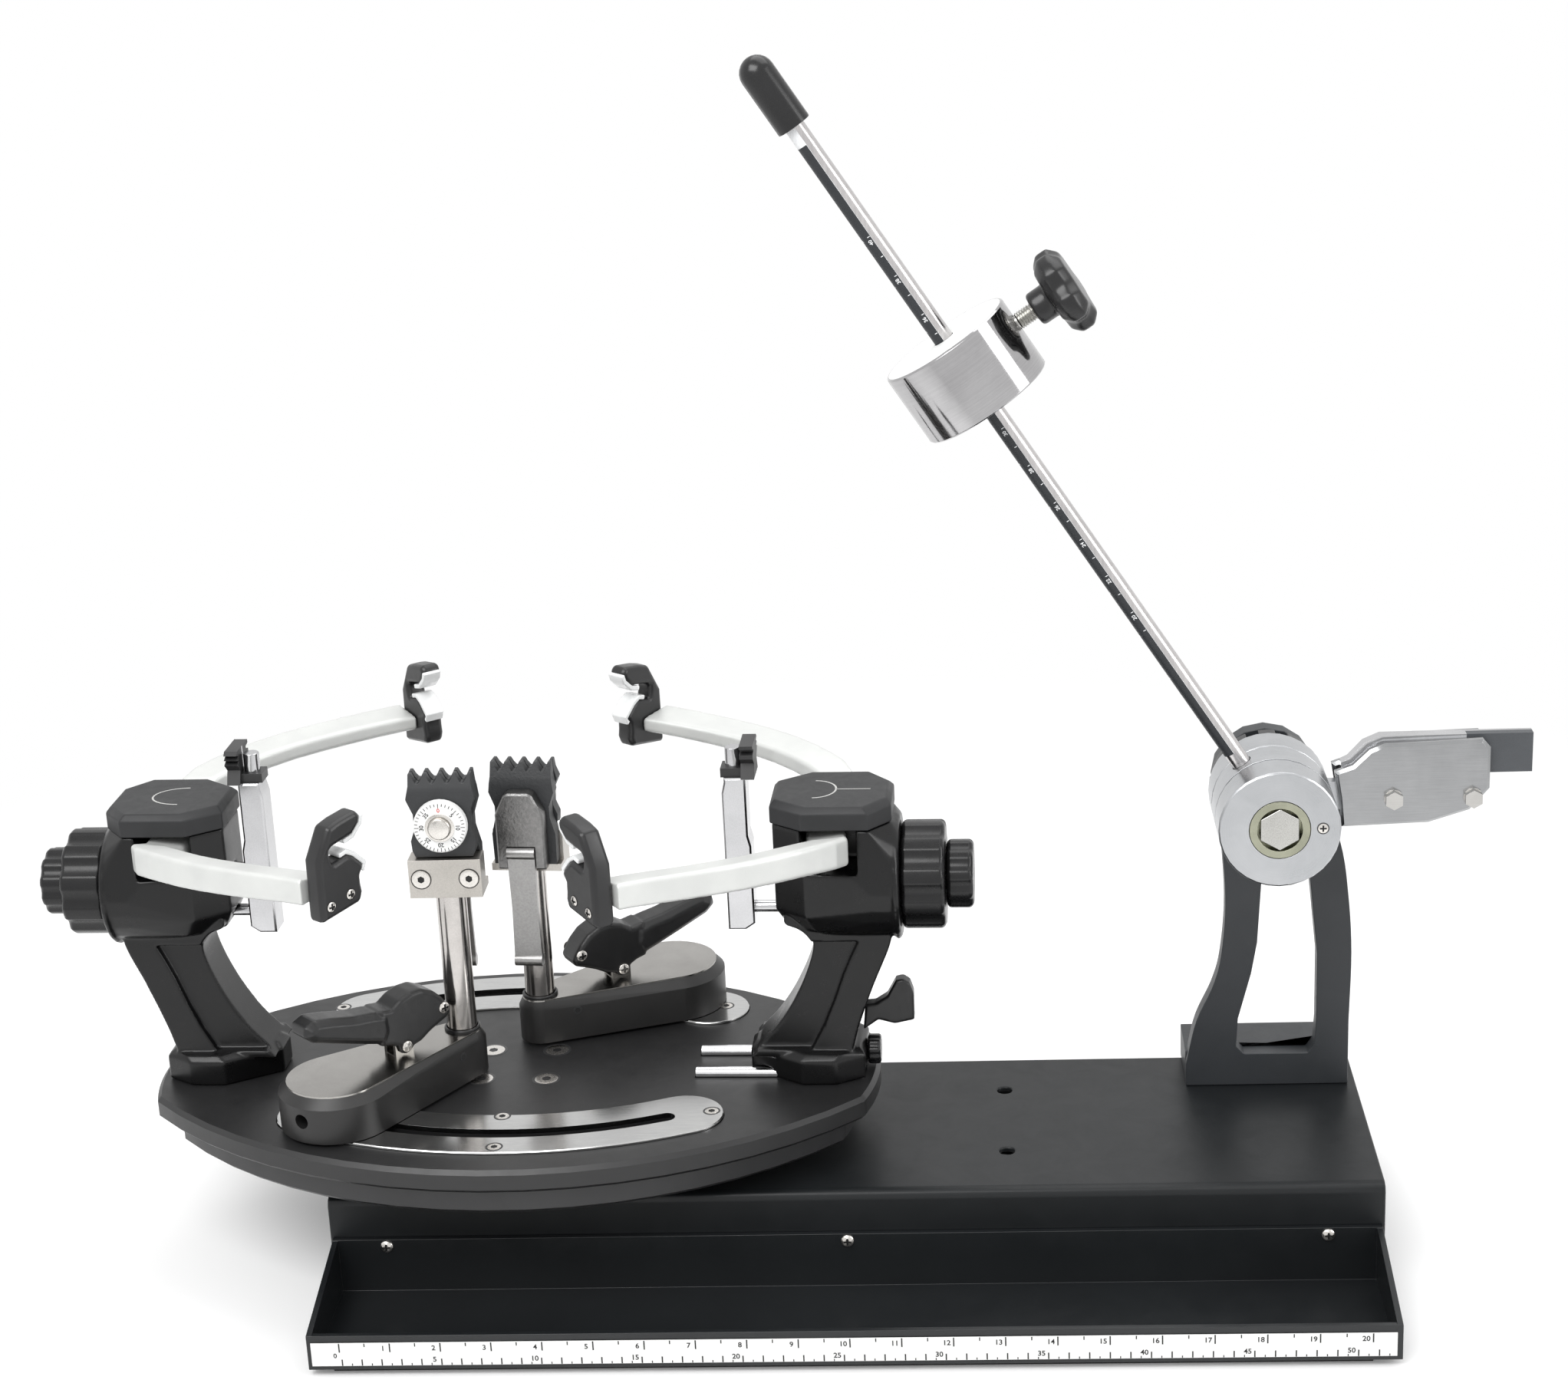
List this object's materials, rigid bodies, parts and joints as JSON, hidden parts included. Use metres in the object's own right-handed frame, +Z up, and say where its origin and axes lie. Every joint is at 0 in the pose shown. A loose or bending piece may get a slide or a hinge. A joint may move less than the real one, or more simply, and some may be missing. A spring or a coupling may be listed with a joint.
{
  "type": "racket stringing machine",
  "caption": "Table-top racket stringing machine: tool tray base, turntable with two masts and hooks, two string clamps, tension drum with gripper, rod and sliding drop weight.",
  "frame": {"origin": "centre of the bounding box, on the table plane under the feet", "axes": "+X along the base towards the tension head, +Y from the tool tray to the back, +Z up"},
  "size_m": [0.7776, 0.298, 0.623],
  "materials": {
    "black_steel": "satin",
    "dark_steel": "satin",
    "rubber": "matte",
    "scale_print": "satin",
    "aluminium": "brushed",
    "arm_silver": "satin",
    "chrome": "polished",
    "steel": "polished",
    "black_cast": "satin black paint",
    "black_plastic": "satin",
    "dial_print": "satin"
  },
  "bodies": {
    "frame": {"base_channel": "black_steel", "tool_tray": "black_steel", "ruler_scale": "scale_print", "foot_strip_front": "rubber", "foot_strip_rear": "rubber", "tension_bracket": "dark_steel", "axle_bolt": "steel", "pivot_housing": "dark_steel"},
    "rod_arm": {"rod_drum": "aluminium", "front_bearing": "steel", "tension_rod": "steel", "rod_cap": "rubber"},
    "weight": {"drop_weight": "chrome"},
    "weight_knob": {"weight_knob": "black_plastic"},
    "gripper": {"gripper_drum": "aluminium", "ratchet_ring": "dark_steel", "gripper_plate_rear": "chrome", "gripper_jaw": "black_plastic"},
    "gripper_front": {"gripper_plate_front": "chrome"},
    "turntable": {"turntable_plate": "black_cast", "turntable_underplate": "dark_steel", "glide_plate_front": "chrome", "glide_plate_rear": "chrome", "guide_rod_front": "steel", "guide_rod_rear": "steel", "mast_left": "black_cast", "mast_cap_left": "black_plastic"},
    "mast_right": {"mast_right": "black_cast", "mast_cap_right": "black_plastic"},
    "lock_lever": {"lock_lever": "black_plastic"},
    "lock_screw": {"lock_screw": "dark_steel"},
    "arm_left_front": {"arm_left_front": "arm_silver", "hook_left_front": "black_plastic"},
    "arm_left_rear": {"arm_left_rear": "arm_silver", "hook_left_rear": "black_plastic"},
    "arm_knob_left": {"arm_knob_left": "black_plastic"},
    "centre_support_left": {"centre_support_left": "chrome"},
    "support_knob_left": {"support_knob_left": "black_plastic"},
    "arm_right_rear": {"arm_right_rear": "arm_silver", "hook_right_rear": "black_plastic"},
    "arm_right_front": {"arm_right_front": "arm_silver", "hook_right_front": "black_plastic"},
    "arm_knob_right": {"arm_knob_right": "black_plastic"},
    "centre_support_right": {"centre_support_right": "chrome"},
    "support_knob_right": {"support_knob_right": "black_plastic"},
    "clamp_base_1": {"clamp_base_1": "black_cast"},
    "cam_lever_1": {"cam_lever_1": "black_plastic"},
    "clamp_head_1": {"clamp_post_1": "steel", "jaw_rear_1": "black_plastic"},
    "jaw_front_1": {"jaw_front_1": "black_plastic"},
    "clamp_dial_1": {"clamp_dial_1": "dial_print"},
    "head_lever_1": {"head_lever_1": "steel"},
    "clamp_base_2": {"clamp_base_2": "black_cast"},
    "cam_lever_2": {"cam_lever_2": "black_plastic"},
    "clamp_head_2": {"clamp_post_2": "steel", "jaw_rear_2": "black_plastic"},
    "jaw_front_2": {"jaw_front_2": "black_plastic"},
    "clamp_dial_2": {"clamp_dial_2": "dial_print"},
    "head_lever_2": {"head_lever_2": "steel"}
  },
  "joints": [
    {"name": "turntable_spin", "type": "hinge", "parent": "frame", "child": "turntable", "pos_m": [-0.14225, 0.00544, 0.068], "axis": [0, 0, 1], "continuous": true},
    {"name": "rod_swing", "type": "hinge", "parent": "frame", "child": "rod_arm", "pos_m": [0.25645, -0.00556, 0.2367], "axis": [0, 1, 0], "range_deg": [0, 150]},
    {"name": "weight_slide", "type": "slide", "parent": "rod_arm", "child": "weight", "axis": [-0.5446, 0, 0.8387], "range_m": [-0.2, 0.12]},
    {"name": "weight_knob_turn", "type": "hinge", "parent": "weight", "child": "weight_knob", "pos_m": [0.13668, -0.00556, 0.49457], "axis": [0.8387, 0, 0.5446], "range_deg": [-180, 180]},
    {"name": "gripper_turn", "type": "hinge", "parent": "frame", "child": "gripper", "pos_m": [0.25645, 0.01494, 0.2367], "axis": [0, 1, 0], "range_deg": [-20, 100]},
    {"name": "gripper_open", "type": "slide", "parent": "gripper", "child": "gripper_front", "axis": [0, -1, 0], "range_m": [0, 0.003]},
    {"name": "mast_slide", "type": "slide", "parent": "turntable", "child": "mast_right", "axis": [0.9994, -0.0349, 0], "range_m": [-0.03, 0.006]},
    {"name": "lock_lever_turn", "type": "hinge", "parent": "mast_right", "child": "lock_lever", "pos_m": [0.04564, -0.00112, 0.119], "axis": [0.0349, 0.9994, 0], "range_deg": [0, 15]},
    {"name": "lock_screw_turn", "type": "hinge", "parent": "mast_right", "child": "lock_screw", "pos_m": [0.04813, -0.0012, 0.1045], "axis": [-0.9994, 0.0349, 0], "range_deg": [-180, 180]},
    {"name": "arm_left_front_swing", "type": "hinge", "parent": "turntable", "child": "arm_left_front", "pos_m": [-0.31417, -0.00356, 0.23], "axis": [0, 0, 1], "range_deg": [-3, 5]},
    {"name": "arm_left_rear_swing", "type": "hinge", "parent": "turntable", "child": "arm_left_rear", "pos_m": [-0.31312, 0.02642, 0.23], "axis": [0, 0, 1], "range_deg": [-5, 3]},
    {"name": "arm_knob_left_turn", "type": "hinge", "parent": "turntable", "child": "arm_knob_left", "pos_m": [-0.35662, 0.01293, 0.204], "axis": [0.9994, -0.0349, 0], "range_deg": [-91, 151]},
    {"name": "centre_support_left_slide", "type": "slide", "parent": "turntable", "child": "centre_support_left", "axis": [0.9994, -0.0349, 0], "range_m": [-0.002, 0.015]},
    {"name": "support_knob_left_turn", "type": "hinge", "parent": "turntable", "child": "support_knob_left", "pos_m": [-0.37661, 0.01363, 0.204], "axis": [0.9994, -0.0349, 0], "range_deg": [-61, 452]},
    {"name": "arm_right_rear_swing", "type": "hinge", "parent": "mast_right", "child": "arm_right_rear", "pos_m": [0.02967, 0.01445, 0.23], "axis": [0, 0, 1], "range_deg": [-3, 5]},
    {"name": "arm_right_front_swing", "type": "hinge", "parent": "mast_right", "child": "arm_right_front", "pos_m": [0.02862, -0.01553, 0.23], "axis": [0, 0, 1], "range_deg": [-5, 3]},
    {"name": "arm_knob_right_turn", "type": "hinge", "parent": "mast_right", "child": "arm_knob_right", "pos_m": [0.07212, -0.00204, 0.204], "axis": [-0.9994, 0.0349, 0], "range_deg": [-91, 151]},
    {"name": "centre_support_right_slide", "type": "slide", "parent": "mast_right", "child": "centre_support_right", "axis": [-0.9994, 0.0349, 0], "range_m": [-0.007, 0.01]},
    {"name": "support_knob_right_turn", "type": "hinge", "parent": "mast_right", "child": "support_knob_right", "pos_m": [0.09211, -0.00274, 0.204], "axis": [-0.9994, 0.0349, 0], "range_deg": [-211, 301]},
    {"name": "clamp_1_travel", "type": "hinge", "parent": "turntable", "child": "clamp_base_1", "pos_m": [-0.13763, 0.13786, 0.098], "axis": [0, 0, 1], "range_deg": [-1.2, 6]},
    {"name": "cam_lever_1_turn", "type": "hinge", "parent": "clamp_base_1", "child": "cam_lever_1", "pos_m": [-0.19868, -0.03116, 0.1273], "axis": [-0.7009, 0.7133, 0], "range_deg": [-3, 22]},
    {"name": "clamp_head_1_swivel", "type": "hinge", "parent": "clamp_base_1", "child": "clamp_head_1", "pos_m": [-0.1698, -0.00277, 0.15], "axis": [0, 0, 1], "range_deg": [-30, 30]},
    {"name": "jaw_1_slide", "type": "slide", "parent": "clamp_head_1", "child": "jaw_front_1", "axis": [0, -1, 0], "range_m": [0, 0.0032]},
    {"name": "clamp_dial_1_turn", "type": "hinge", "parent": "jaw_front_1", "child": "clamp_dial_1", "pos_m": [-0.1698, -0.01477, 0.2409], "axis": [0, 1, 0], "range_deg": [-160, 160]},
    {"name": "head_lever_1_turn", "type": "hinge", "parent": "clamp_head_1", "child": "head_lever_1", "pos_m": [-0.1698, 0.01423, 0.2146], "axis": [1, 0, 0], "range_deg": [0, 60]},
    {"name": "clamp_2_travel", "type": "hinge", "parent": "turntable", "child": "clamp_base_2", "pos_m": [-0.14658, -0.11848, 0.098], "axis": [0, 0, 1], "range_deg": [-3.5, 4]},
    {"name": "cam_lever_2_turn", "type": "hinge", "parent": "clamp_base_2", "child": "cam_lever_2", "pos_m": [-0.09413, 0.06424, 0.1273], "axis": [0.5402, -0.8415, 0], "range_deg": [-3, 22]},
    {"name": "clamp_head_2_swivel", "type": "hinge", "parent": "clamp_base_2", "child": "clamp_head_2", "pos_m": [-0.13368, 0.03885, 0.15], "axis": [0, 0, 1], "range_deg": [-30, 30]},
    {"name": "jaw_2_slide", "type": "slide", "parent": "clamp_head_2", "child": "jaw_front_2", "axis": [0.0924, 0.9957, 0], "range_m": [0, 0.0032]},
    {"name": "clamp_dial_2_turn", "type": "hinge", "parent": "jaw_front_2", "child": "clamp_dial_2", "pos_m": [-0.13257, 0.0508, 0.2346], "axis": [-0.0924, -0.9957, 0], "range_deg": [-160, 160]},
    {"name": "head_lever_2_turn", "type": "hinge", "parent": "clamp_head_2", "child": "head_lever_2", "pos_m": [-0.13525, 0.02193, 0.2106], "axis": [-0.9957, 0.0924, 0], "range_deg": [0, 60]}
  ],
  "couplings": [
    {"joint": "arm_left_rear_swing", "follows": "arm_left_front_swing", "ratio": -1},
    {"joint": "arm_knob_left_turn", "follows": "arm_left_front_swing", "ratio": 30},
    {"joint": "support_knob_left_turn", "follows": "centre_support_left_slide", "rad_per_m": 524},
    {"joint": "arm_right_front_swing", "follows": "arm_right_rear_swing", "ratio": -1},
    {"joint": "arm_knob_right_turn", "follows": "arm_right_rear_swing", "ratio": 30},
    {"joint": "support_knob_right_turn", "follows": "centre_support_right_slide", "rad_per_m": 524},
    {"joint": "jaw_1_slide", "follows": "head_lever_1_turn", "m_per_rad": 0.003},
    {"joint": "jaw_2_slide", "follows": "head_lever_2_turn", "m_per_rad": 0.003}
  ]
}
